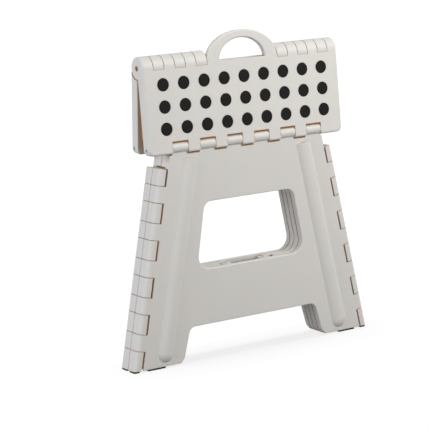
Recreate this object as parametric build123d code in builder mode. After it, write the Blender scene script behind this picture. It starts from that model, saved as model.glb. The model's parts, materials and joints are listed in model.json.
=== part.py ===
from build123d import *
import os
from math import cos, hypot, radians, sin, sqrt

# Folding step stool, folded flat and standing on its feet.
# Millimetres, +Z up, the front faces -Y, and the origin is on the floor below the middle of the pack.
# Each tread hangs from the top hinge, each leg panel hangs from its tread, and a pair of side panels,
# folded between the leg panels, joins their edges on each side.

# The whole stool
stool_height = 450.0
pack_depth = 40.0
tread_lean = radians(4.2)
leg_splay = radians(10.0)
side_turn = radians(84.0)
panel_gap = 1.0
knuckle_gap = 0.5
pin_gap = 0.1
seat_gap = 0.1
overlap = 2.0

# Treads, measured from the top hinge's axis
tread_width = 317.0
tread_length = 118.0
tread_thickness = 15.7
tread_skin = 3.6
tread_corner = 8.0
tread_edge = 3.0
tread_inner_edge = 1.5
tread_heel_radius = 9.3
barrel_gap = 0.9
tread_seam = 0.3
rib_thickness = 2.5
rib_columns = 8
rib_rows = 2
rib_margin = 5.0
hinge_pin_radius = 3.6
hinge_pin_recess = 6.0
knuckles_per_side = 6

# Carrying handle of the front tread
handle_width = 115.2
handle_rise = 39.4
handle_thickness = 8.0
handle_edge = 2.0
handle_hole_width = 73.3
handle_hole_rise = 28.5
handle_gap = 0.8

# Rubber dots let into the treads
dot_columns = 9
dot_rows = 3
dot_radius = 8.9
dot_pitch_x = 32.3
dot_pitch_y = 29.8
first_dot_row = 24.0
dot_depth = 1.6
dot_rise = 0.6
dot_ring_radius = 5.2
dot_ring_width = 0.8
dot_ring_depth = 0.3

# Hinge between a tread and its leg panel
leg_hinge_drop = 110.0
leg_hinge_depth = 8.0
leg_barrel_radius = 7.7
leg_barrel_gap = 1.2
leg_knuckles = 6
leg_knuckle_width = 24.4
leg_knuckle_pitch = 43.8
leg_pin_radius = 2.5
leg_pin_recess = 0.8

# Leg panels
leg_thickness = 8.8
leg_gap = 1.6
leg_skin = 3.0
leg_top_gap = 2.2
leg_rim = 5.0
leg_edge_round = 6.5
leg_face_round = 1.2
neck_width = 26.0
neck_gap = 0.6
bead_width = 24.0
bead_height = 4.6
bead_top_gap = 6.5
bead_foot = 8.0
bead_inset = 41.4

# Window and foot arch, cut through all four layers
window_top = 220.9
window_foot = 127.5
window_top_width = 145.8
window_foot_width = 179.4
window_top_round = 12.0
window_foot_round = 18.0
arch_top = 50.0
arch_top_width = 209.0
arch_foot_width = 231.0
arch_flare_height = 9.0
arch_flare = 14.0
arch_top_round = 11.0
arch_foot_round = 12.0

# Slanted hinges between a leg panel and its side panels
corner_half_width = 191.1
corner_lean = radians(11.3)
corner_barrel_radius = 10.0
corner_pin_radius = 2.25
corner_wall = 5.2
corner_notch = 7.9
corner_tab = 5.3
corner_sink = 0.4
corner_edge = 2.5
corner_gap = 0.8
side_knuckles = 6
side_knuckle_width = 26.6
side_knuckle_pitch = 50.7
top_knuckle_cut = 4.5
first_side_knuckle = 16.3

# Side panels and their middle fold
side_thickness = 9.0
side_skin = 2.4
side_top_gap = 0.5
fold_barrel_radius = 8.0
fold_pin_radius = 1.5
fold_play = 5.3
fold_setback = 11.0
fold_knuckle_gap = 0.8
fold_fingers = 5
arm_margin = 0.6

# Rubber feet
foot_height = 2.5
foot_seat = 1.5
leg_foot_length = 27.0
leg_foot_width = 6.4
leg_foot_inset = 31.1
side_foot_radius = 3.6
side_pad_inset = 0.5
side_pad_reach = 7.4
side_pad_round = 2.5

# Places that follow from the sizes above
hinge_height = stool_height - handle_rise * cos(tread_lean) - tread_thickness * sin(tread_lean)
tread_plane = Plane(
    origin=(0, 0, hinge_height),
    x_dir=(1, 0, 0),
    z_dir=(0, -cos(tread_lean), sin(tread_lean)),
)
up_tread = Axis(tread_plane.origin, tread_plane.y_dir)
out_of_tread = Axis(tread_plane.origin, tread_plane.z_dir)
leg_hinge = tread_plane.from_local_coords(Vector(0, -leg_hinge_drop, leg_hinge_depth))
leg_hinge_yz = (leg_hinge.Y, leg_hinge.Z)
leg_face = pack_depth / 2
leg_inner = leg_face - leg_thickness
leg_top = leg_hinge.Z - leg_barrel_radius - leg_top_gap
leg_foot_half_span = corner_half_width - leg_foot_inset
bead_top = leg_top - bead_top_gap
side_face = leg_inner - leg_gap
side_inner = side_face - side_thickness
corner_depth = (leg_face + knuckle_gap) / 2
corner_front = leg_face - corner_sink - corner_depth
corner_socket = hypot(corner_tab, corner_front) + knuckle_gap
corner_plane = Plane(
    origin=(-corner_half_width, -corner_depth, 0),
    x_dir=(cos(corner_lean), 0, -sin(corner_lean)),
    z_dir=(sin(corner_lean), 0, cos(corner_lean)),
)
side_spans = [
    (
        first_side_knuckle + side_knuckle_pitch * k - side_knuckle_width / 2,
        first_side_knuckle + side_knuckle_pitch * k + side_knuckle_width / 2,
    )
    for k in range(side_knuckles)
]
side_spans[0] = (-corner_wall, side_spans[0][1])
side_spans[-1] = (side_spans[-1][0], side_spans[-1][1] - top_knuckle_cut)
leg_spans = [
    (below[1] + corner_gap, above[0] - corner_gap) for below, above in zip(side_spans, side_spans[1:])
]
corner_top = side_spans[-1][1]
side_top = corner_top * cos(corner_lean) - side_top_gap


def knuckle_spans(first):
    """Stretches along X of every other barrel of the top hinge, on both sides of the handle."""
    width = (tread_width - handle_width) / 2 / knuckles_per_side
    right_half = []
    for k in range(first, knuckles_per_side, 2):
        seam = barrel_gap if k else 0
        start = handle_width / 2 + width * k
        right_half.append((start + seam, start + width))
    return right_half + [(-end, -start) for start, end in right_half]


rear_spans = knuckle_spans(0)
front_spans = knuckle_spans(1)
leg_knuckle_places = [leg_knuckle_pitch * (k - (leg_knuckles - 1) / 2) for k in range(leg_knuckles)]


def fold_reach(along):
    """Distance from the corner axis to the fold axis, so that both folds close on the middle plane.

    Folded, the fold axis lies on Y = 0. Open, the leg panel has splayed and the side panel has turned,
    and the same line is back on Y = 0.
    """
    swing = corner_depth * (1 - cos(side_turn)) + leg_hinge.Y
    drop = corner_depth * sin(corner_lean) * sin(side_turn) + along * cos(corner_lean) - leg_hinge.Z
    need = leg_hinge_drop + cos(leg_splay) * swing - sin(leg_splay) * drop
    rate = cos(leg_splay) * sin(side_turn) - sin(leg_splay) * sin(corner_lean) * cos(side_turn)
    return need / rate


fold_foot = corner_plane.from_local_coords(Vector(fold_reach(0), corner_depth, 0))
fold_head = corner_plane.from_local_coords(Vector(fold_reach(corner_top), corner_depth, corner_top))
fold_plane = Plane(origin=fold_foot, x_dir=(0, 1, 0), z_dir=fold_head - fold_foot)


def fold_x(height):
    """Place of the left fold axis at a height above the floor."""
    return fold_foot.X + (fold_head.X - fold_foot.X) * (height - fold_foot.Z) / (fold_head.Z - fold_foot.Z)


def fold_spans(bottom, top):
    """The fold's knuckles over one arm of the side panels, from its foot up, along the fold axis."""
    rise = (fold_head - fold_foot).normalized().Z
    low = (bottom - fold_foot.Z) / rise + arm_margin
    high = (top - fold_foot.Z) / rise - arm_margin
    width = (high - low) / fold_fingers
    return [(low + width * k, low + width * (k + 1)) for k in range(fold_fingers)]


lower_fold = fold_spans(arch_top, window_foot)
upper_fold = fold_spans(window_top, side_top)


def corner_x(height):
    """Place of the left corner axis at a height above the floor."""
    return -corner_half_width + height * sin(corner_lean) / cos(corner_lean)


side_foot_place = (corner_x(foot_height), -corner_depth)
corner_pin_foot = foot_height + foot_seat + overlap


def bar(plane, radius, length, centre=(0, 0), mode=Mode.ADD):
    """A round bar, or a bore, that stands on a plane."""
    with BuildSketch(plane) as section:
        with Locations(centre):
            Circle(radius)
    extrude(section.sketch, amount=length, mode=mode)


def block(plane, low, high, length, mode=Mode.ADD):
    """A square block, or a cut, that stands on a plane between two corners."""
    with BuildSketch(plane) as section:
        with Locations(low):
            Rectangle(high[0] - low[0], high[1] - low[1], align=(Align.MIN, Align.MIN))
    extrude(section.sketch, amount=length, mode=mode)


def corner_knuckle(start, end, right):
    """A knuckle of the slanted hinge: flush with the leg panel in front, and round behind the pin."""
    right_rise = sqrt(corner_barrel_radius**2 - right**2)
    with BuildSketch(corner_plane.offset(start)) as section:
        with BuildLine():
            Polyline(
                (right, right_rise),
                (right, -corner_front),
                (-corner_wall, -corner_front),
                (-corner_wall, corner_barrel_radius),
                (0, corner_barrel_radius),
            )
            TangentArc((0, corner_barrel_radius), (right, right_rise), tangent=(1, 0))
        make_face()
        front_edge = section.vertices().group_by(Axis.Y)[0].sort_by(Axis.X)[0]
        fillet(front_edge, leg_edge_round - corner_sink)
        rear_edge = section.vertices().group_by(Axis.Y)[-1].sort_by(Axis.X)[0]
        fillet(rear_edge, corner_edge)
    extrude(section.sketch, amount=end - start)


def trim_foot():
    """Cut the panel in hand off level, just above the floor, to leave room for its rubber foot."""
    reach = stool_height
    below = Plane.XY.offset(-reach)
    block(below, (-reach, -reach), (reach, reach), reach + foot_height, Mode.SUBTRACT)


def round_opening(edge):
    """Whether an edge of the leg panel's left half runs round the window or the arch."""
    place = edge.center()
    beside = corner_x(place.Z) + corner_notch < place.X < -leg_face_round
    return beside and foot_height < place.Z - leg_face_round < leg_top - 2 * leg_face_round


def cut_openings():
    """Cut the window and the foot arch through the panel in hand."""
    with BuildSketch(Plane.XZ) as window:
        with BuildLine():
            Polyline(
                (-window_top_width / 2, window_top),
                (window_top_width / 2, window_top),
                (window_foot_width / 2, window_foot),
                (-window_foot_width / 2, window_foot),
                close=True,
            )
        make_face()
        fillet(window.vertices().group_by(Axis.Y)[-1], window_top_round)
        fillet(window.vertices().group_by(Axis.Y)[0], window_foot_round)
    extrude(window.sketch, amount=pack_depth, both=True, mode=Mode.SUBTRACT)
    with BuildSketch(Plane.XZ) as arch:
        with BuildLine():
            Polyline(
                (-arch_top_width / 2, arch_top),
                (arch_top_width / 2, arch_top),
                (arch_foot_width / 2, arch_flare_height),
                (arch_foot_width / 2 + arch_flare, -arch_flare / 2),
                (-arch_foot_width / 2 - arch_flare, -arch_flare / 2),
                (-arch_foot_width / 2, arch_flare_height),
                close=True,
            )
        make_face()
        fillet(arch.vertices().group_by(Axis.Y)[-1], arch_top_round)
        fillet(arch.vertices().group_by(Axis.Y)[1], arch_foot_round)
    extrude(arch.sketch, amount=pack_depth, both=True, mode=Mode.SUBTRACT)


def at_tread_end(edge):
    """Whether an edge lies on the end face of a tread."""
    return abs(abs(edge.center().X) - tread_width / 2) < seat_gap


def tread_barrel(start, end):
    """One barrel of the top hinge, rounded where it ends the tread, without the part that the board fills."""
    with BuildPart() as barrel:
        bar(Plane.YZ.offset(start), tread_thickness, end - start, (0, hinge_height))
        end_rims = barrel.edges().filter_by(GeomType.CIRCLE).filter_by(at_tread_end)
        if end_rims:
            fillet(end_rims, tread_edge)
        board_plane = tread_plane.offset(tread_inner_edge)
        block(board_plane, (start, -2 * tread_thickness), (end, 0), 2 * tread_thickness, Mode.SUBTRACT)
    return barrel.part


def tread_blank(own_spans, other_spans, rib_cells, dot_places):
    """Tread board with its barrels, room for the other tread's, ribs below and seats for the dots."""
    barrels = [tread_barrel(start, end) for start, end in own_spans]
    with BuildPart() as blank:
        with BuildSketch(tread_plane) as outline:
            Rectangle(tread_width, tread_length, align=(Align.CENTER, Align.MAX))
            fillet(outline.vertices().group_by(Axis.Y)[0], tread_corner)
        extrude(amount=tread_thickness)
        outer_rim = blank.faces().sort_by(out_of_tread)[-1].edges().sort_by(up_tread)[:-1]
        inner_rim = blank.faces().sort_by(out_of_tread)[0].edges().sort_by(up_tread)[:-1]
        fillet(outer_rim, tread_edge)
        fillet(inner_rim, tread_inner_edge)
        with BuildSketch(tread_plane):
            for place in rib_cells:
                with Locations(place):
                    Rectangle(rib_pitch_x - rib_thickness, rib_pitch_y - rib_thickness)
        extrude(amount=tread_thickness - tread_skin, mode=Mode.SUBTRACT)
        for start, end in other_spans:
            room = end - start + 2 * knuckle_gap
            cut_plane = Plane.YZ.offset(start - knuckle_gap)
            bar(cut_plane, tread_thickness + knuckle_gap, room, (0, hinge_height), Mode.SUBTRACT)
        seam_low = (-handle_width / 2, -tread_seam)
        block(tread_plane, seam_low, (handle_width / 2, overlap), tread_thickness, Mode.SUBTRACT)
        add(barrels)
        bore_length = (tread_width - handle_width) / 2 + overlap
        for start in (handle_width / 2, -handle_width / 2 - bore_length):
            bore_plane = Plane.YZ.offset(start)
            bar(bore_plane, hinge_pin_radius + pin_gap, bore_length, (0, hinge_height), Mode.SUBTRACT)
        notch_top = -leg_hinge_drop + leg_barrel_radius + leg_barrel_gap
        notch_half = leg_knuckle_width / 2 + knuckle_gap
        for place in leg_knuckle_places:
            low = (place - notch_half, -tread_length - overlap)
            high = (place + notch_half, notch_top)
            block(tread_plane.offset(-overlap), low, high, tread_thickness + 2 * overlap, Mode.SUBTRACT)
        pin_plane = Plane.YZ.offset(-tread_width / 2)
        bar(pin_plane, leg_pin_radius + pin_gap, tread_width, leg_hinge_yz, Mode.SUBTRACT)
        # Heel rounded about the leg hinge, which clears the leg panel as the tread swings
        with BuildSketch(pin_plane) as heel:
            with Locations(leg_hinge_yz):
                Rectangle(2 * tread_thickness, 2 * tread_thickness, align=(Align.MIN, Align.MAX))
                Circle(tread_heel_radius, mode=Mode.SUBTRACT)
        extrude(heel.sketch, amount=tread_width, mode=Mode.SUBTRACT)
        with BuildSketch(tread_plane.offset(tread_thickness - dot_depth)):
            with Locations(*dot_places):
                Circle(dot_radius + seat_gap)
        extrude(amount=dot_depth + overlap, mode=Mode.SUBTRACT)
    return blank.part


def dots(dot_places):
    """Rubber dots in their seats, each with a shallow ring in its face."""
    with BuildPart() as group:
        with BuildSketch(tread_plane.offset(tread_thickness - dot_depth)):
            with Locations(*dot_places):
                Circle(dot_radius)
        extrude(amount=dot_depth + dot_rise)
        with BuildSketch(tread_plane.offset(tread_thickness + dot_rise - dot_ring_depth)):
            with Locations(*dot_places):
                Circle(dot_ring_radius + dot_ring_width)
                Circle(dot_ring_radius, mode=Mode.SUBTRACT)
        extrude(amount=dot_ring_depth + overlap, mode=Mode.SUBTRACT)
    return group.part


# Ribs and dots of the treads, in the tread's own plane
rib_top = tread_thickness + rib_margin
rib_foot = leg_hinge_drop - leg_barrel_radius - leg_barrel_gap - rib_margin / 2
rib_pitch_x = (tread_width - 2 * rib_margin) / rib_columns
rib_pitch_y = (rib_foot - rib_top) / rib_rows
tread_cells = [
    (rib_pitch_x * (i - (rib_columns - 1) / 2), -rib_top - rib_pitch_y * (j + 0.5))
    for i in range(rib_columns)
    for j in range(rib_rows)
]
recess_reach = handle_rise + handle_gap + rib_thickness
clear_cells = [
    (x, y)
    for x, y in tread_cells
    if abs(x) - rib_pitch_x / 2 > handle_width / 2 or y + rib_pitch_y / 2 < -recess_reach
]
dot_grid = [
    (dot_pitch_x * (i - (dot_columns - 1) / 2), -first_dot_row - dot_pitch_y * j)
    for i in range(dot_columns)
    for j in range(dot_rows)
]
clear_dots = [
    (x, y)
    for x, y in dot_grid
    if abs(x) - dot_radius > handle_width / 2 or y + dot_radius < -recess_reach
]

# Front tread with the carrying handle
with BuildPart() as handle:
    with BuildSketch(tread_plane.offset(tread_thickness - handle_thickness)):
        Ellipse(handle_width / 2, handle_rise)
        Ellipse(handle_hole_width / 2, handle_hole_rise, mode=Mode.SUBTRACT)
        with Locations((0, -tread_seam - overlap)):
            Rectangle(handle_width, handle_rise, align=(Align.CENTER, Align.MAX), mode=Mode.SUBTRACT)
    extrude(amount=handle_thickness)
    fillet(handle.edges().filter_by(GeomType.ELLIPSE), handle_edge)
with BuildPart() as front_tread:
    add(tread_blank(front_spans, rear_spans, tread_cells, dot_grid))
    add(handle.part)

# Rear tread, with a recess that takes the handle when the stool is open
with BuildPart() as rear_tread_seen_from_front:
    add(tread_blank(rear_spans, front_spans, clear_cells, clear_dots))
    with BuildSketch(tread_plane.offset(tread_thickness - handle_thickness - handle_gap)):
        Ellipse(handle_width / 2 + handle_gap, handle_rise + handle_gap)
    extrude(amount=handle_thickness + handle_gap + overlap, mode=Mode.SUBTRACT)
with BuildPart() as rear_tread:
    mirror(rear_tread_seen_from_front.part, about=Plane.XZ)

# Rubber dots
with BuildPart() as front_dots:
    add(dots(dot_grid))
with BuildPart() as rear_dots:
    mirror(dots(clear_dots), about=Plane.XZ)

# Pins of the top hinge, one on each side of the handle
with BuildPart() as right_tread_pin:
    pin_length = (tread_width - handle_width) / 2 - knuckle_gap - hinge_pin_recess
    bar(Plane.YZ.offset(handle_width / 2 + knuckle_gap), hinge_pin_radius, pin_length, (0, hinge_height))
with BuildPart() as left_tread_pin:
    mirror(right_tread_pin.part, about=Plane.YZ)

# Half-round bead along the left edge of the front leg panel, square at the top and round at the foot
bead_radius = ((bead_width / 2) ** 2 + bead_height**2) / (2 * bead_height)
bead_low = bead_foot + bead_width / 2
bead_length = (bead_top - bead_low) / cos(corner_lean)
bead_plane = Plane(
    origin=(corner_x(bead_low) + bead_inset, bead_radius - bead_height - leg_face, bead_low),
    z_dir=corner_plane.z_dir,
)
with BuildPart() as bead:
    bar(bead_plane, bead_radius, bead_length)
    with Locations(bead_plane):
        Sphere(bead_radius)
    root_plane = Plane.XZ.offset(leg_face - overlap)
    block(root_plane, (-corner_half_width, 0), (0, stool_height), bead_height + 2 * overlap, Mode.INTERSECT)

# Front leg panel: the left half, then its mirror image
with BuildPart() as front_leg:
    with BuildSketch(Plane.XZ.offset(leg_inner)):
        wall = corner_wall / cos(corner_lean)
        with BuildLine():
            Polyline(
                (0, foot_height),
                (corner_x(foot_height) - wall, foot_height),
                (corner_x(leg_top) - wall, leg_top),
                (0, leg_top),
                close=True,
            )
        make_face()
    extrude(amount=leg_thickness)
    cut_openings()
    face_edges = front_leg.faces().sort_by(Axis.Y)[0].edges()
    outer_edge = face_edges.sort_by(Axis.X)[0]
    fillet(outer_edge, leg_edge_round)
    fillet(face_edges.filter_by(round_opening), leg_face_round)
    add(bead.part)
    # Pockets between ribs, open to the inside of the pack
    pocket_depth = leg_thickness - leg_skin
    upper_pocket = (window_top + leg_rim, leg_top - leg_rim)
    lower_pocket = (arch_top + leg_rim, window_foot - leg_rim)
    for low, high in (upper_pocket, lower_pocket):
        width = window_top_width / 4 - rib_thickness
        for left in (-window_top_width / 4 - width - rib_thickness / 2, -width - rib_thickness / 2):
            block(Plane.XZ.offset(leg_inner), (left, low), (left + width, high), pocket_depth, Mode.SUBTRACT)
    # Thick neck above the side panel, which meets the other leg panel's neck
    neck_low = (corner_x(leg_top), side_top + overlap)
    neck_high = (corner_x(leg_top) + corner_notch + neck_width, leg_top)
    block(Plane.XZ.offset(neck_gap), neck_low, neck_high, leg_inner - neck_gap + overlap)
    # Room for the side panel's knuckles and their swing, and the narrower neck above the last one
    for start, end in side_spans:
        room = end - start + 2 * corner_gap
        cut_plane = corner_plane.offset(start - corner_gap)
        bar(cut_plane, corner_socket, room, mode=Mode.SUBTRACT)
        if end == corner_top:
            room = stool_height
        block(cut_plane, (-corner_half_width, -leg_face), (corner_notch, leg_face), room, Mode.SUBTRACT)
    for start, end in leg_spans:
        corner_knuckle(start, end, corner_notch)
    trim_foot()
    bar(corner_plane, corner_pin_radius + pin_gap, corner_top, mode=Mode.SUBTRACT)
    # Knuckles that reach up into the tread
    for place in leg_knuckle_places[: leg_knuckles // 2]:
        start = place - leg_knuckle_width / 2
        bar(Plane.YZ.offset(start), leg_barrel_radius, leg_knuckle_width, leg_hinge_yz)
        low = (start, leg_top - overlap)
        high = (start + leg_knuckle_width, leg_hinge.Z)
        block(Plane.XZ.offset(leg_inner), low, high, leg_thickness)
    bore_plane = Plane.YZ.offset(-tread_width / 2)
    bar(bore_plane, leg_pin_radius + pin_gap, tread_width / 2, leg_hinge_yz, Mode.SUBTRACT)
    # Seat of the rubber foot
    seat_x = -leg_foot_half_span - leg_foot_length / 2 - seat_gap
    seat_y = -leg_inner - leg_thickness / 2 - leg_foot_width / 2 - seat_gap
    seat_low = (seat_x, seat_y)
    seat_high = (seat_x + leg_foot_length + 2 * seat_gap, seat_y + leg_foot_width + 2 * seat_gap)
    block(Plane.XY, seat_low, seat_high, foot_height + foot_seat, Mode.SUBTRACT)
    mirror(about=Plane.YZ)
with BuildPart() as rear_leg:
    mirror(front_leg.part, about=Plane.XZ)

# Pins between treads and leg panels
with BuildPart() as front_leg_pin:
    pin_reach = tread_width / 2 - leg_pin_recess
    bar(Plane.YZ.offset(-pin_reach), leg_pin_radius, 2 * pin_reach, leg_hinge_yz)
with BuildPart() as rear_leg_pin:
    mirror(front_leg_pin.part, about=Plane.XZ)

# Rubber feet of the leg panels
with BuildPart() as front_leg_feet:
    foot_y = -leg_inner - leg_thickness / 2
    with Locations((-leg_foot_half_span, foot_y), (leg_foot_half_span, foot_y)):
        Box(
            leg_foot_length,
            leg_foot_width,
            foot_height + foot_seat,
            align=(Align.CENTER, Align.CENTER, Align.MIN),
        )
with BuildPart() as rear_leg_feet:
    mirror(front_leg_feet.part, about=Plane.XZ)


def side_panel(own_finger, bore_radius):
    """Left front side panel: bar along the corner, two arms, and every other knuckle of the fold."""
    with BuildPart() as panel:
        with BuildSketch(Plane.XZ.offset(side_inner)):
            with BuildLine():
                Polyline(
                    (corner_x(foot_height), foot_height),
                    (corner_x(side_top), side_top),
                    (fold_x(side_top), side_top),
                    (fold_x(foot_height), foot_height),
                    close=True,
                )
            make_face()
        extrude(amount=side_thickness)
        # Thinner along the fold, no thicker than its barrels
        with BuildSketch(Plane.XZ.offset(fold_barrel_radius)) as fold_strip:
            with BuildLine():
                Polyline(
                    (fold_x(0) - fold_setback, 0),
                    (fold_x(leg_top) - fold_setback, leg_top),
                    (fold_x(leg_top) + fold_setback, leg_top),
                    (fold_x(0) + fold_setback, 0),
                    close=True,
                )
            make_face()
        extrude(fold_strip.sketch, amount=side_thickness, mode=Mode.SUBTRACT)
        cut_openings()
        for low, high in ((arch_top, window_foot), (window_top, side_top)):
            left = corner_x(low) + 2 * corner_notch
            right = fold_x(low) - 2 * fold_barrel_radius
            width = (right - left - rib_thickness) / 2
            for start in (left, left + width + rib_thickness):
                corner_low = (start, low + leg_rim)
                corner_high = (start + width, high - leg_rim)
                pocket_plane = Plane.XZ.offset(side_inner + side_skin)
                block(pocket_plane, corner_low, corner_high, side_thickness, Mode.SUBTRACT)
        for start, end in leg_spans:
            room = end - start + 2 * corner_gap
            cut_plane = corner_plane.offset(start - corner_gap)
            bar(cut_plane, corner_barrel_radius + panel_gap, room, mode=Mode.SUBTRACT)
        for spans, play in ((lower_fold, fold_play), (upper_fold, 0)):
            for k, (start, end) in enumerate(spans):
                if k % 2 != own_finger:
                    reach = fold_barrel_radius + play + panel_gap
                    cut_plane = fold_plane.offset(start - overlap)
                    bar(cut_plane, reach, end - start + 2 * overlap, mode=Mode.SUBTRACT)
        for start, end in side_spans:
            corner_knuckle(start, end, corner_tab)
        for spans in (lower_fold, upper_fold):
            for k, (start, end) in enumerate(spans):
                if k % 2 == own_finger:
                    length = end - start - fold_knuckle_gap
                    finger_plane = fold_plane.offset(start + fold_knuckle_gap / 2)
                    bar(finger_plane, fold_barrel_radius, length)
                    bar(finger_plane, bore_radius, length, mode=Mode.SUBTRACT)
        bar(corner_plane, corner_pin_radius + pin_gap, corner_top, mode=Mode.SUBTRACT)
        trim_foot()
        bar(Plane.XY, side_foot_radius + seat_gap, foot_height + foot_seat, side_foot_place, Mode.SUBTRACT)
    return panel.part


with BuildPart() as left_front_side:
    add(side_panel(1, fold_pin_radius + fold_play))
with BuildPart() as left_rear_side:
    mirror(side_panel(0, fold_pin_radius + pin_gap), about=Plane.XZ)

with BuildPart() as right_front_side:
    mirror(left_front_side.part, about=Plane.YZ)
with BuildPart() as right_rear_side:
    mirror(left_rear_side.part, about=Plane.YZ)

# Pins along the slanted corners
with BuildPart() as left_front_corner_pin:
    bar(corner_plane.offset(corner_pin_foot), corner_pin_radius, corner_top - corner_pin_foot - overlap)
with BuildPart() as right_front_corner_pin:
    mirror(left_front_corner_pin.part, about=Plane.YZ)
with BuildPart() as left_rear_corner_pin:
    mirror(left_front_corner_pin.part, about=Plane.XZ)
with BuildPart() as right_rear_corner_pin:
    mirror(left_rear_corner_pin.part, about=Plane.YZ)

# Pins of the folds, through the lower arms
with BuildPart() as left_fold_pin:
    fold_pin_foot = lower_fold[0][0] + overlap
    bar(fold_plane.offset(fold_pin_foot), fold_pin_radius, lower_fold[-1][1] - fold_pin_foot - overlap)
with BuildPart() as right_fold_pin:
    mirror(left_fold_pin.part, about=Plane.YZ)

# Rubber feet under the side panels
with BuildPart() as left_front_side_foot:
    bar(Plane.XY, side_foot_radius, foot_height + foot_seat, side_foot_place)
    with BuildSketch(Plane.XY) as pad:
        with Locations(side_foot_place):
            RectangleRounded(2 * corner_wall - 2 * side_pad_inset, 2 * side_pad_reach, side_pad_round)
    extrude(pad.sketch, amount=foot_height)
with BuildPart() as right_front_side_foot:
    mirror(left_front_side_foot.part, about=Plane.YZ)
with BuildPart() as left_rear_side_foot:
    mirror(left_front_side_foot.part, about=Plane.XZ)
with BuildPart() as right_rear_side_foot:
    mirror(left_rear_side_foot.part, about=Plane.YZ)

pieces = {
    "front_tread": front_tread,
    "rear_tread": rear_tread,
    "front_grip_dots": front_dots,
    "rear_grip_dots": rear_dots,
    "left_tread_pin": left_tread_pin,
    "right_tread_pin": right_tread_pin,
    "front_leg_panel": front_leg,
    "rear_leg_panel": rear_leg,
    "front_leg_pin": front_leg_pin,
    "rear_leg_pin": rear_leg_pin,
    "front_leg_feet": front_leg_feet,
    "rear_leg_feet": rear_leg_feet,
    "left_front_side_panel": left_front_side,
    "left_rear_side_panel": left_rear_side,
    "right_front_side_panel": right_front_side,
    "right_rear_side_panel": right_rear_side,
    "left_front_corner_pin": left_front_corner_pin,
    "left_rear_corner_pin": left_rear_corner_pin,
    "right_front_corner_pin": right_front_corner_pin,
    "right_rear_corner_pin": right_rear_corner_pin,
    "left_fold_pin": left_fold_pin,
    "right_fold_pin": right_fold_pin,
    "left_front_side_foot": left_front_side_foot,
    "left_rear_side_foot": left_rear_side_foot,
    "right_front_side_foot": right_front_side_foot,
    "right_rear_side_foot": right_rear_side_foot,
}
os.makedirs("parts", exist_ok=True)
for name, piece in pieces.items():
    piece.part.label = name
    export_step(piece.part, f"parts/{name}.step")
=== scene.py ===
import json
from math import cos, pi, radians, sin

import bmesh
import bpy
from mathutils import Matrix, Vector


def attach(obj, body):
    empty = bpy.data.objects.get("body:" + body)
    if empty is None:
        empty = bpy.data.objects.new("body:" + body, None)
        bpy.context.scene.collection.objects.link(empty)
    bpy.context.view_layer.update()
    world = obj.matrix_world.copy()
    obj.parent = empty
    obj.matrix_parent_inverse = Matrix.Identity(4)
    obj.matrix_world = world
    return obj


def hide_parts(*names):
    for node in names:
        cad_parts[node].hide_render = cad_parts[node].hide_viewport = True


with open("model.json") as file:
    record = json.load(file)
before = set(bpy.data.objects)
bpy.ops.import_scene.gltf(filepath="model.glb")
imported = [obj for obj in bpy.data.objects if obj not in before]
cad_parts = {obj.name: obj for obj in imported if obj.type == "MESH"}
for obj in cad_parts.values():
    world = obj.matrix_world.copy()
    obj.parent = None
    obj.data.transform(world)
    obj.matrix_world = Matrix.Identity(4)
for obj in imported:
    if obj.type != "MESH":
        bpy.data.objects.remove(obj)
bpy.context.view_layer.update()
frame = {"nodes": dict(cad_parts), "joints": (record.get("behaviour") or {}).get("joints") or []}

bl_info = {
    "name": "Folding step stool",
    "version": (1, 0, 0),
    "blender": (4, 5, 0),
    "location": "View3D > Sidebar > Step stool",
    "description": "Finishes, grip dots and studio for a folding plastic step stool",
    "category": "Object",
}

MM = 0.001
SENSOR_WIDTH = 36.0
FLOOR_HALF_WIDTH = 25.0
DOT_SIDES = 40
SHARP_ANGLE = radians(40)

# Sockets of a Mix node that mixes colours, where names alone don't tell them apart
MIX_FACTOR = 0
MIX_LOW = 6
MIX_HIGH = 7
MIX_RESULT = 2

TREADS = ("front_tread", "rear_tread")
LEG_PANELS = ("front_leg_panel", "rear_leg_panel")
SIDE_PANELS = (
    "left_front_side_panel",
    "left_rear_side_panel",
    "right_front_side_panel",
    "right_rear_side_panel",
)
PINS = (
    "left_tread_pin",
    "right_tread_pin",
    "front_leg_pin",
    "rear_leg_pin",
    "left_front_corner_pin",
    "left_rear_corner_pin",
    "right_front_corner_pin",
    "right_rear_corner_pin",
    "left_fold_pin",
    "right_fold_pin",
)
FEET = (
    "front_leg_feet",
    "rear_leg_feet",
    "left_front_side_foot",
    "left_rear_side_foot",
    "right_front_side_foot",
    "right_rear_side_foot",
)
HINGE_PLACE = Vector(next(j["pos_m"] for j in frame["joints"] if j["name"] == "tread_hinge"))


def linear(hex_colour):
    """Linear RGB of an sRGB hex colour."""
    channels = [int(hex_colour[i : i + 2], 16) / 255 for i in (1, 3, 5)]
    return [c / 12.92 if c <= 0.04045 else ((c + 0.055) / 1.055) ** 2.4 for c in channels]


def opaque(colour):
    """RGBA of an RGB colour."""
    return (*colour, 1.0)


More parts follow.
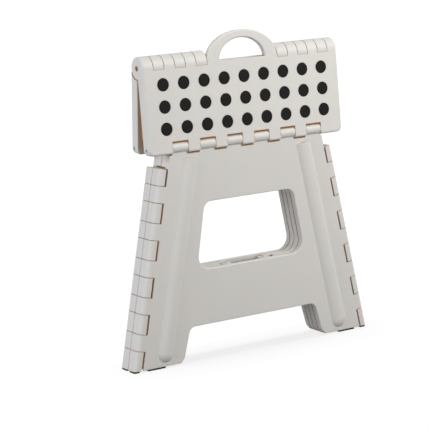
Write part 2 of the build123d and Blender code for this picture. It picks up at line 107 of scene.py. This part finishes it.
class StoolPlastic(bpy.types.PropertyGroup):
    """Moulded polypropylene of the treads, leg panels and side panels."""

    colour: bpy.props.FloatVectorProperty(
        name="Colour",
        description="Colour of the plastic in open light",
        subtype="COLOR",
        min=0,
        max=1,
        default=linear("#DCDAD6"),
    )
    # Painted shade and painted glow: this warm colour goes into the base colour, and into the emission,
    # where ambient occlusion finds narrow gaps
    painted_gap_colour: bpy.props.FloatVectorProperty(
        name="Crevice colour",
        description="Warm colour that light takes inside narrow gaps of the plastic",
        subtype="COLOR",
        min=0,
        max=1,
        default=linear("#96744C"),
    )
    # Painted glow: strength of the warm emission painted into the hollow between the treads
    tread_painted_glow: bpy.props.FloatProperty(
        name="Tread seep",
        description="How much light comes through the treads into the hollow between them",
        min=0,
        default=0.7,
    )
    # Painted glow: strength of the warm emission painted into the gaps between the panels
    panel_painted_glow: bpy.props.FloatProperty(
        name="Panel seep",
        description="How much light comes through the panels into the gaps between them",
        min=0,
        default=0.35,
    )
    # Reach of the ambient occlusion that places the painted shade and painted glow in the treads'
    # hollows
    tread_painted_shade_reach: bpy.props.FloatProperty(
        name="Tread hollow",
        description="Width of the hollows in the treads that take the warm colour",
        unit="LENGTH",
        default=60 * MM,
    )
    # Reach of the ambient occlusion that places the painted shade and painted glow in the panels' gaps
    panel_painted_shade_reach: bpy.props.FloatProperty(
        name="Panel gap",
        description="Width of the gaps in the panels that take the warm colour",
        unit="LENGTH",
        default=12 * MM,
    )
    tread_grain: bpy.props.FloatProperty(
        name="Tread grain",
        description="Size of the grain moulded into the treads",
        unit="LENGTH",
        default=1.8 * MM,
    )
    tread_grain_depth: bpy.props.FloatProperty(
        name="Tread grain depth",
        description="Depth of the grain moulded into the treads",
        unit="LENGTH",
        default=0.22 * MM,
    )
    panel_grain: bpy.props.FloatProperty(
        name="Panel grain",
        description="Size of the finer grain moulded into the panels",
        unit="LENGTH",
        default=1.1 * MM,
    )
    panel_grain_depth: bpy.props.FloatProperty(
        name="Panel grain depth",
        description="Depth of the finer grain moulded into the panels",
        unit="LENGTH",
        default=0.1 * MM,
    )
    edge_round: bpy.props.FloatProperty(
        name="Edge round",
        description="Radius of the broken edges left by the mould",
        unit="LENGTH",
        default=0.7 * MM,
    )


class StoolDots(bpy.types.PropertyGroup):
    """Rubber dots let into the treads."""

    colour: bpy.props.FloatVectorProperty(
        name="Colour",
        description="Colour of the dots and the feet",
        subtype="COLOR",
        min=0,
        max=1,
        default=linear("#0A0908"),
    )
    radius: bpy.props.FloatProperty(
        name="Radius",
        description="Radius of one dot",
        unit="LENGTH",
        default=8.9 * MM,
    )
    depth: bpy.props.FloatProperty(
        name="Depth",
        description="How deep a dot sits in the tread",
        unit="LENGTH",
        default=1.6 * MM,
    )
    rise: bpy.props.FloatProperty(
        name="Rise",
        description="How far a dot stands proud of the tread",
        unit="LENGTH",
        default=0.6 * MM,
    )
    rings: bpy.props.IntProperty(
        name="Rings",
        description="Raised rings on a dot's face",
        min=1,
        default=3,
    )
    tread_lean: bpy.props.FloatProperty(
        name="Tread lean",
        description="Angle of a folded tread from upright",
        subtype="ANGLE",
        default=radians(4.2),
    )
    tread_thickness: bpy.props.FloatProperty(
        name="Tread thickness",
        description="Distance of a tread's face from the top hinge's axis",
        unit="LENGTH",
        default=15.7 * MM,
    )
    pitch: bpy.props.FloatVectorProperty(
        name="Pitch",
        description="Distance between dots along and across the tread",
        size=2,
        unit="LENGTH",
        default=(32.3 * MM, 29.8 * MM),
    )
    first_row: bpy.props.FloatProperty(
        name="First row",
        description="Distance of the first row of dots from the top hinge's axis",
        unit="LENGTH",
        default=24.0 * MM,
    )
    columns: bpy.props.IntProperty(name="Columns", description="Dots along the tread", default=9)
    rows: bpy.props.IntProperty(name="Rows", description="Dots across the tread", default=3)
    recess: bpy.props.FloatVectorProperty(
        name="Handle recess",
        description="Half width and height of the bare place round the rear tread's recess",
        size=2,
        unit="LENGTH",
        default=(57.6 * MM, 42.7 * MM),
    )


class StoolPins(bpy.types.PropertyGroup):
    """Steel hinge pins."""

    colour: bpy.props.FloatVectorProperty(
        name="Colour",
        description="Colour of the drawn steel",
        subtype="COLOR",
        min=0,
        max=1,
        default=linear("#B9BABC"),
    )
    scratch: bpy.props.FloatProperty(
        name="Draw marks",
        description="Distance between the marks left by drawing the wire",
        unit="LENGTH",
        default=0.4 * MM,
    )


class StoolStage(bpy.types.PropertyGroup):
    """Floor, light and camera."""

    floor_colour: bpy.props.FloatVectorProperty(
        name="Floor colour",
        description="Colour of the floor sweep",
        subtype="COLOR",
        min=0,
        max=1,
        default=linear("#848484"),
    )
    azimuth: bpy.props.FloatProperty(
        name="Camera azimuth",
        description="Turn of the camera round the stool",
        subtype="ANGLE",
        default=radians(-32.07),
    )
    elevation: bpy.props.FloatProperty(
        name="Camera elevation",
        description="Height of the camera above the horizon",
        subtype="ANGLE",
        default=radians(10.82),
    )
    roll: bpy.props.FloatProperty(
        name="Camera roll",
        description="Tilt of the camera about its own line of sight",
        subtype="ANGLE",
        default=radians(2.392),
    )
    distance: bpy.props.FloatProperty(
        name="Camera distance",
        description="Distance of the camera from the point that it looks at",
        unit="LENGTH",
        default=2.54035,
    )
    target: bpy.props.FloatVectorProperty(
        name="Camera target",
        description="The point that the camera looks at",
        subtype="XYZ",
        unit="LENGTH",
        default=(-0.045195, 0.0, 0.196184),
    )
    lens: bpy.props.FloatProperty(
        name="Lens",
        description="Focal length on a sensor 36 mm wide",
        default=153.85,
    )


def add_node(tree, kind, settings=None, links=None):
    """Add one node, set its inputs or its own properties by name, and link sources into its inputs."""
    node = tree.nodes.new(kind)
    for name, value in (settings or {}).items():
        if isinstance(name, str) and hasattr(node, name):
            setattr(node, name, value)
        else:
            node.inputs[name].default_value = value
    for name, source in (links or {}).items():
        tree.links.new(source, node.inputs[name])
    return node


def new_material(name):
    """An empty node material, its tree, and the object's own coordinates in metres."""
    material = bpy.data.materials.new(name)
    material.use_nodes = True
    tree = material.node_tree
    tree.nodes.clear()
    place = add_node(tree, "ShaderNodeTexCoord").outputs["Object"]
    return material, tree, place


def moulded_polypropylene(name, plastic, grain, grain_depth, painted_shade_reach, painted_glow_strength):
    """Polypropylene from a spark-eroded mould: satin, faintly grained, a little translucent.

    Narrow gaps get a painted warm shade in the base colour and a painted warm glow from emission, and
    no edge is quite sharp. The real grain is a tenth of a millimetre, too fine to show, so it is drawn
    about ten times as coarse.
    """
    cloud_size = 60 * MM
    flow_size = 9 * MM
    material, tree, place = new_material(name)
    clouds = add_node(
        tree,
        "ShaderNodeTexNoise",
        {"Scale": 1 / cloud_size, "Detail": 3.0, "Roughness": 0.5},
        {"Vector": place},
    )
    pale = [min(1.0, c * 1.02) for c in plastic.colour]
    dull = [c * 0.965 for c in plastic.colour]
    tone = add_node(
        tree,
        "ShaderNodeMix",
        {"data_type": "RGBA", MIX_LOW: opaque(dull), MIX_HIGH: opaque(pale)},
        {MIX_FACTOR: clouds.outputs["Fac"]},
    )
    edge = add_node(tree, "ShaderNodeBevel", {"samples": 6, "Radius": plastic.edge_round})
    gap = add_node(tree, "ShaderNodeAmbientOcclusion", {"samples": 12, "Distance": painted_shade_reach})
    # Painted shade: the base colour turns to the warm gap colour where ambient occlusion is low
    painted_shade_mask = add_node(
        tree,
        "ShaderNodeMapRange",
        {"interpolation_type": "SMOOTHSTEP", "From Min": 0.12, "From Max": 0.75},
        {"Value": gap.outputs["AO"]},
    )
    tone_and_painted_shade = add_node(
        tree,
        "ShaderNodeMix",
        {"data_type": "RGBA", MIX_LOW: opaque(plastic.painted_gap_colour)},
        {MIX_FACTOR: painted_shade_mask.outputs["Result"], MIX_HIGH: tone.outputs[MIX_RESULT]},
    )
    # Painted glow: warm emission in the deepest gaps, where ambient occlusion is lowest
    painted_glow = add_node(
        tree,
        "ShaderNodeMapRange",
        {
            "interpolation_type": "SMOOTHSTEP",
            "From Min": 0.04,
            "From Max": 0.5,
            "To Min": painted_glow_strength,
            "To Max": 0.0,
        },
        {"Value": gap.outputs["AO"]},
    )
    flow = add_node(
        tree,
        "ShaderNodeTexNoise",
        {"Scale": 1 / flow_size, "Detail": 2.0},
        {"Vector": place},
    )
    gloss = add_node(
        tree,
        "ShaderNodeMapRange",
        {"To Min": 0.42, "To Max": 0.56},
        {"Value": flow.outputs["Fac"]},
    )
    pits = add_node(
        tree,
        "ShaderNodeTexNoise",
        {"Scale": 1 / grain, "Detail": 3.0, "Roughness": 0.6},
        {"Vector": place},
    )
    relief = add_node(
        tree,
        "ShaderNodeBump",
        {"Strength": 0.5, "Distance": grain_depth},
        {"Height": pits.outputs["Fac"], "Normal": edge.outputs["Normal"]},
    )
    surface = add_node(
        tree,
        "ShaderNodeBsdfPrincipled",
        {
            "IOR": 1.49,
            "Subsurface Weight": 0.12,
            "Subsurface Radius": (1.0, 0.65, 0.4),
            "Subsurface Scale": 2.5 * MM,
            # The painted glow takes the warm gap colour
            "Emission Color": opaque(plastic.painted_gap_colour),
        },
        {
            "Base Color": tone_and_painted_shade.outputs[MIX_RESULT],
            "Roughness": gloss.outputs["Result"],
            "Normal": relief.outputs["Normal"],
            "Emission Strength": painted_glow.outputs["Result"],
        },
    )
    add_node(tree, "ShaderNodeOutputMaterial", links={"Surface": surface.outputs["BSDF"]})
    return material


def moulded_rubber(name, dots):
    """Thermoplastic rubber from a mould: nearly black, dull, with a dusty bloom in patches."""
    bloom_size = 4 * MM
    pit_size = 0.7 * MM
    pit_depth = 0.06 * MM
    material, tree, place = new_material(name)
    bloom = add_node(
        tree,
        "ShaderNodeTexNoise",
        {"Scale": 1 / bloom_size, "Detail": 4.0},
        {"Vector": place},
    )
    dusty = [c + 0.006 for c in dots.colour]
    tone = add_node(
        tree,
        "ShaderNodeMix",
        {"data_type": "RGBA", MIX_LOW: opaque(dots.colour), MIX_HIGH: opaque(dusty)},
        {MIX_FACTOR: bloom.outputs["Fac"]},
    )
    gloss = add_node(
        tree,
        "ShaderNodeMapRange",
        {"To Min": 0.55, "To Max": 0.75},
        {"Value": bloom.outputs["Fac"]},
    )
    pits = add_node(
        tree,
        "ShaderNodeTexNoise",
        {"Scale": 1 / pit_size, "Detail": 2.0},
        {"Vector": place},
    )
    relief = add_node(
        tree,
        "ShaderNodeBump",
        {"Strength": 0.4, "Distance": pit_depth},
        {"Height": pits.outputs["Fac"]},
    )
    surface = add_node(
        tree,
        "ShaderNodeBsdfPrincipled",
        {"IOR": 1.5, "Specular IOR Level": 0.12},
        {
            "Base Color": tone.outputs[MIX_RESULT],
            "Roughness": gloss.outputs["Result"],
            "Normal": relief.outputs["Normal"],
        },
    )
    add_node(tree, "ShaderNodeOutputMaterial", links={"Surface": surface.outputs["BSDF"]})
    return material


def drawn_steel(name, pins):
    """Drawn steel wire: grey metal with fine marks drawn out along X, as most of the pins lie."""
    material, tree, place = new_material(name)
    stretch = 20
    along = add_node(
        tree,
        "ShaderNodeMapping",
        {"Scale": (1 / stretch, 1.0, 1.0)},
        {"Vector": place},
    )
    marks = add_node(
        tree,
        "ShaderNodeTexNoise",
        {"Scale": 1 / pins.scratch, "Detail": 2.0},
        {"Vector": along.outputs["Vector"]},
    )
    dark = [c * 0.8 for c in pins.colour]
    tone = add_node(
        tree,
        "ShaderNodeMix",
        {"data_type": "RGBA", MIX_LOW: opaque(dark), MIX_HIGH: opaque(pins.colour)},
        {MIX_FACTOR: marks.outputs["Fac"]},
    )
    gloss = add_node(
        tree,
        "ShaderNodeMapRange",
        {"To Min": 0.28, "To Max": 0.45},
        {"Value": marks.outputs["Fac"]},
    )
    surface = add_node(
        tree,
        "ShaderNodeBsdfPrincipled",
        {"Metallic": 1.0},
        {"Base Color": tone.outputs[MIX_RESULT], "Roughness": gloss.outputs["Result"]},
    )
    add_node(tree, "ShaderNodeOutputMaterial", links={"Surface": surface.outputs["BSDF"]})
    return material


def finish_nodes(names, material):
    """Give CAD nodes a finish in place of the plain one that they came with."""
    for name in names:
        slots = frame["nodes"][name].data.materials
        slots.clear()
        slots.append(material)


def mesh_object(name, mesh):
    """A new object in the scene."""
    piece = bpy.data.objects.new(name, mesh)
    bpy.context.scene.collection.objects.link(piece)
    return piece


def dot_profile(dots):
    """Half section of one dot as (radius, height) points from its middle to its seat."""
    ring_pitch = dots.radius / (dots.rings + 1)
    first_ring = ring_pitch * 0.35
    ring_height = dots.rise * 0.45
    ring_steps = 8
    edge_steps = 4
    points = []
    for k in range(dots.rings * ring_steps + 1):
        radius = first_ring + ring_pitch * k / ring_steps
        wave = (1 - cos(2 * pi * k / ring_steps)) / 2
        points.append((radius, dots.rise - ring_height * (1 - wave)))
    edge = dots.rise * 0.8
    for k in range(edge_steps + 1):
        turn = pi / 2 * k / edge_steps
        points.append((dots.radius - edge * (1 - sin(turn)), dots.rise - edge * (1 - cos(turn))))
    points.append((dots.radius, -dots.depth))
    return points


def lathe(profile, sides, frame_matrix, mesh):
    """Turn a half section about the frame's own Z and add it, closed below, to a mesh."""
    turns = [2 * pi * k / sides for k in range(sides)]
    loops = []
    for radius, height in profile:
        ring = [Vector((radius * cos(turn), radius * sin(turn), height)) for turn in turns]
        loops.append([mesh.verts.new(frame_matrix @ point) for point in ring])
    for inner, outer in zip(loops, loops[1:]):
        for k in range(sides):
            after = (k + 1) % sides
            mesh.faces.new((inner[k], outer[k], outer[after], inner[after]))
    mesh.faces.new(loops[0])
    mesh.faces.new(reversed(loops[-1]))


class STOOL_OT_treads(bpy.types.Operator):
    """Finish the treads in grained polypropylene"""

    bl_idname = "stool.treads"
    bl_label = "Treads"

    def execute(self, context):
        plastic = context.scene.stool_plastic
        material = moulded_polypropylene(
            "polypropylene_grained_moulded",
            plastic,
            plastic.tread_grain,
            plastic.tread_grain_depth,
            plastic.tread_painted_shade_reach,
            plastic.tread_painted_glow,
        )
        finish_nodes(TREADS, material)
        return {"FINISHED"}


class STOOL_OT_panels(bpy.types.Operator):
    """Finish the leg panels and side panels in satin polypropylene"""

    bl_idname = "stool.panels"
    bl_label = "Leg and side panels"

    def execute(self, context):
        plastic = context.scene.stool_plastic
        material = moulded_polypropylene(
            "polypropylene_satin_moulded",
            plastic,
            plastic.panel_grain,
            plastic.panel_grain_depth,
            plastic.panel_painted_shade_reach,
            plastic.panel_painted_glow,
        )
        finish_nodes(LEG_PANELS + SIDE_PANELS, material)
        return {"FINISHED"}


class STOOL_OT_grip_dots(bpy.types.Operator):
    """Make the ringed rubber dots of both treads"""

    bl_idname = "stool.grip_dots"
    bl_label = "Grip dots"

    def execute(self, context):
        dots = context.scene.stool_dots
        rubber = moulded_rubber("rubber_dull_moulded", dots)
        profile = dot_profile(dots)
        for side, name in ((-1, "front"), (1, "rear")):
            out = Vector((0, side * cos(dots.tread_lean), sin(dots.tread_lean)))
            across = Vector((-side, 0, 0))
            up = out.cross(across)
            mesh = bmesh.new()
            for i in range(dots.columns):
                for j in range(dots.rows):
                    x = dots.pitch[0] * (i - (dots.columns - 1) / 2)
                    drop = dots.first_row + dots.pitch[1] * j
                    beside = abs(x) - dots.radius > dots.recess[0]
                    below = drop - dots.radius > dots.recess[1]
                    if name == "rear" and not (beside or below):
                        continue
                    centre = HINGE_PLACE + Vector((x, 0, 0)) - up * drop + out * dots.tread_thickness
                    seat = Matrix((across, up, out)).transposed().to_4x4()
                    seat.translation = centre
                    lathe(profile, DOT_SIDES, seat, mesh)
            bmesh.ops.recalc_face_normals(mesh, faces=mesh.faces)
            data = bpy.data.meshes.new(f"{name}_ringed_dots")
            mesh.to_mesh(data)
            mesh.free()
            data.materials.append(rubber)
            data.polygons.foreach_set("use_smooth", [True] * len(data.polygons))
            data.set_sharp_from_angle(angle=SHARP_ANGLE)
            piece = mesh_object(f"{name}_ringed_dots", data)
            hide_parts(f"{name}_grip_dots")
            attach(piece, f"{name}_tread")
        return {"FINISHED"}


class STOOL_OT_feet(bpy.types.Operator):
    """Finish the feet in dull rubber"""

    bl_idname = "stool.feet"
    bl_label = "Feet"

    def execute(self, context):
        finish_nodes(FEET, moulded_rubber("rubber_worn_moulded", context.scene.stool_dots))
        return {"FINISHED"}


class STOOL_OT_pins(bpy.types.Operator):
    """Finish the hinge pins in drawn steel"""

    bl_idname = "stool.pins"
    bl_label = "Hinge pins"

    def execute(self, context):
        finish_nodes(PINS, drawn_steel("steel_drawn_wire", context.scene.stool_pins))
        return {"FINISHED"}


def add_light(name, place, target, size, power, colour):
    """A square soft light that faces a point."""
    data = bpy.data.lights.new(name, "AREA")
    data.size = size
    data.energy = power
    data.color = linear(colour)
    light = bpy.data.objects.new(name, data)
    light.location = place
    light.rotation_euler = (Vector(target) - Vector(place)).to_track_quat("-Z", "Y").to_euler()
    bpy.context.scene.collection.objects.link(light)
    return light


def link_to_floor(light, floor, state):
    """Let a light fall on the floor alone, or on everything but the floor."""
    group = bpy.data.collections.new(f"{light.name}_receivers")
    group.objects.link(floor)
    group.collection_objects[0].light_linking.link_state = state
    light.light_linking.receiver_collection = group


def seen_directly(tree):
    """1 for what is seen straight, in a reflection or through glass, and 0 for light on the stool."""
    path = add_node(tree, "ShaderNodeLightPath")
    glossy = add_node(
        tree,
        "ShaderNodeMath",
        {"operation": "MAXIMUM"},
        {0: path.outputs["Is Camera Ray"], 1: path.outputs["Is Glossy Ray"]},
    )
    seen = add_node(
        tree,
        "ShaderNodeMath",
        {"operation": "MAXIMUM"},
        {0: glossy.outputs[0], 1: path.outputs["Is Transmission Ray"]},
    )
    return seen.outputs[0]


def white_studio(scene):
    """White all round where it is seen, and dimmer as light on the stool."""
    world = bpy.data.worlds.new("white_studio")
    scene.world = world
    world.use_nodes = True
    tree = world.node_tree
    tree.nodes.clear()
    strength = add_node(
        tree,
        "ShaderNodeMapRange",
        {"To Min": 0.3, "To Max": 1.0},
        {"Value": seen_directly(tree)},
    )
    sky = add_node(
        tree,
        "ShaderNodeBackground",
        {"Color": opaque(linear("#FFFFFF"))},
        {"Strength": strength.outputs["Result"]},
    )
    add_node(tree, "ShaderNodeOutputWorld", links={"Surface": sky.outputs["Background"]})


def matt_paper(name, stage):
    """Matt paper that fades to plain white away from the stool and keeps its shadow."""
    fibre_size = 3 * MM
    fibre_depth = 0.02 * MM
    fade_start = 0.3
    fade_end = 1.2
    material, tree, place = new_material(name)
    fibres = add_node(
        tree,
        "ShaderNodeTexNoise",
        {"Scale": 1 / fibre_size, "Detail": 2.0},
        {"Vector": place},
    )
    tooth = add_node(
        tree,
        "ShaderNodeBump",
        {"Strength": 0.1, "Distance": fibre_depth},
        {"Height": fibres.outputs["Fac"]},
    )
    paper = add_node(
        tree,
        "ShaderNodeBsdfDiffuse",
        {"Color": opaque(stage.floor_colour)},
        {"Normal": tooth.outputs["Normal"]},
    )
    distance = add_node(tree, "ShaderNodeVectorMath", {"operation": "LENGTH"}, {0: place})
    spread = add_node(
        tree,
        "ShaderNodeMapRange",
        {
            "interpolation_type": "SMOOTHSTEP",
            "From Min": fade_start,
            "From Max": fade_end,
            "To Min": 0.8,
            "To Max": 1.0,
        },
        {"Value": distance.outputs["Value"]},
    )
    lift = add_node(
        tree,
        "ShaderNodeMath",
        {"operation": "MULTIPLY"},
        {0: spread.outputs["Result"], 1: seen_directly(tree)},
    )
    glow = add_node(tree, "ShaderNodeEmission", links={"Strength": lift.outputs[0]})
    both = add_node(
        tree,
        "ShaderNodeAddShader",
        links={0: paper.outputs["BSDF"], 1: glow.outputs["Emission"]},
    )
    add_node(tree, "ShaderNodeOutputMaterial", links={"Surface": both.outputs["Shader"]})
    return material


def floor_sweep(stage):
    """Flat sheet of paper under the stool."""
    sheet = bmesh.new()
    bmesh.ops.create_grid(sheet, x_segments=1, y_segments=1, size=FLOOR_HALF_WIDTH)
    data = bpy.data.meshes.new("floor_sweep")
    sheet.to_mesh(data)
    sheet.free()
    data.materials.append(matt_paper("paper_matt_sweep", stage))
    floor = mesh_object("floor_sweep", data)
    return floor


def studio_lights(floor):
    """Key and fill on the stool, and an overhead light that only draws its shadow on the floor."""
    upper_half = (0.0, 0.0, 0.3)
    key = add_light(
        name="key_softbox",
        place=(0.55, -1.1, 1.1),
        target=upper_half,
        size=0.9,
        power=17.6,
        colour="#FFFDFA",
    )
    fill = add_light(
        name="left_fill",
        place=(-1.7, -0.1, 0.6),
        target=upper_half,
        size=1.0,
        power=16.5,
        colour="#F6F8FF",
    )
    overhead = add_light(
        name="overhead_softbox",
        place=(0.0, 0.05, 1.4),
        target=(0.0, 0.0, 0.0),
        size=0.45,
        power=14.0,
        colour="#FFFFFF",
    )
    link_to_floor(key, floor, "EXCLUDE")
    link_to_floor(fill, floor, "EXCLUDE")
    link_to_floor(overhead, floor, "INCLUDE")


def studio_camera(scene, stage):
    """Camera turned round the stool, raised, and rolled about its line of sight."""
    back = Vector(
        (
            sin(stage.azimuth) * cos(stage.elevation),
            -cos(stage.azimuth) * cos(stage.elevation),
            sin(stage.elevation),
        )
    )
    right = Vector((cos(stage.azimuth), sin(stage.azimuth), 0))
    up = back.cross(right)
    rolled_right = right * cos(stage.roll) - up * sin(stage.roll)
    rolled_up = right * sin(stage.roll) + up * cos(stage.roll)
    turn = Matrix((rolled_right, rolled_up, back)).transposed()
    lens = bpy.data.cameras.new("studio_camera")
    lens.sensor_width = SENSOR_WIDTH
    lens.lens = stage.lens
    camera = bpy.data.objects.new("studio_camera", lens)
    camera.rotation_mode = "QUATERNION"
    camera.rotation_quaternion = turn.to_quaternion()
    camera.location = Vector(stage.target) + back * stage.distance
    scene.collection.objects.link(camera)
    scene.camera = camera


class STOOL_OT_stage(bpy.types.Operator):
    """Set the floor, the studio light and the camera"""

    bl_idname = "stool.stage"
    bl_label = "Stage"

    def execute(self, context):
        scene = context.scene
        scene.view_settings.view_transform = "Standard"
        white_studio(scene)
        studio_lights(floor_sweep(scene.stool_stage))
        studio_camera(scene, scene.stool_stage)
        return {"FINISHED"}


STEPS = (
    STOOL_OT_treads,
    STOOL_OT_panels,
    STOOL_OT_grip_dots,
    STOOL_OT_feet,
    STOOL_OT_pins,
    STOOL_OT_stage,
)


class STOOL_PT_sidebar(bpy.types.Panel):
    """Lists the steps and sizes of the stool"""

    bl_label = "Step stool"
    bl_idname = "STOOL_PT_sidebar"
    bl_space_type = "VIEW_3D"
    bl_region_type = "UI"
    bl_category = "Step stool"

    def draw(self, context):
        for step in STEPS:
            self.layout.operator(step.bl_idname)
        for group in GROUPS:
            settings = getattr(context.scene, group)
            for name in settings.__annotations__:
                self.layout.prop(settings, name)


GROUPS = {
    "stool_plastic": StoolPlastic,
    "stool_dots": StoolDots,
    "stool_pins": StoolPins,
    "stool_stage": StoolStage,
}
CLASSES = (*GROUPS.values(), *STEPS, STOOL_PT_sidebar)


def register():
    for cls in CLASSES:
        bpy.utils.register_class(cls)
    for name, cls in GROUPS.items():
        setattr(bpy.types.Scene, name, bpy.props.PointerProperty(type=cls))


def unregister():
    for name in GROUPS:
        delattr(bpy.types.Scene, name)
    for cls in reversed(CLASSES):
        bpy.utils.unregister_class(cls)


def main():
    register()
    bpy.ops.stool.treads()
    bpy.ops.stool.panels()
    bpy.ops.stool.grip_dots()
    bpy.ops.stool.feet()
    bpy.ops.stool.pins()
    bpy.ops.stool.stage()


if __name__ == "__main__":
    main()
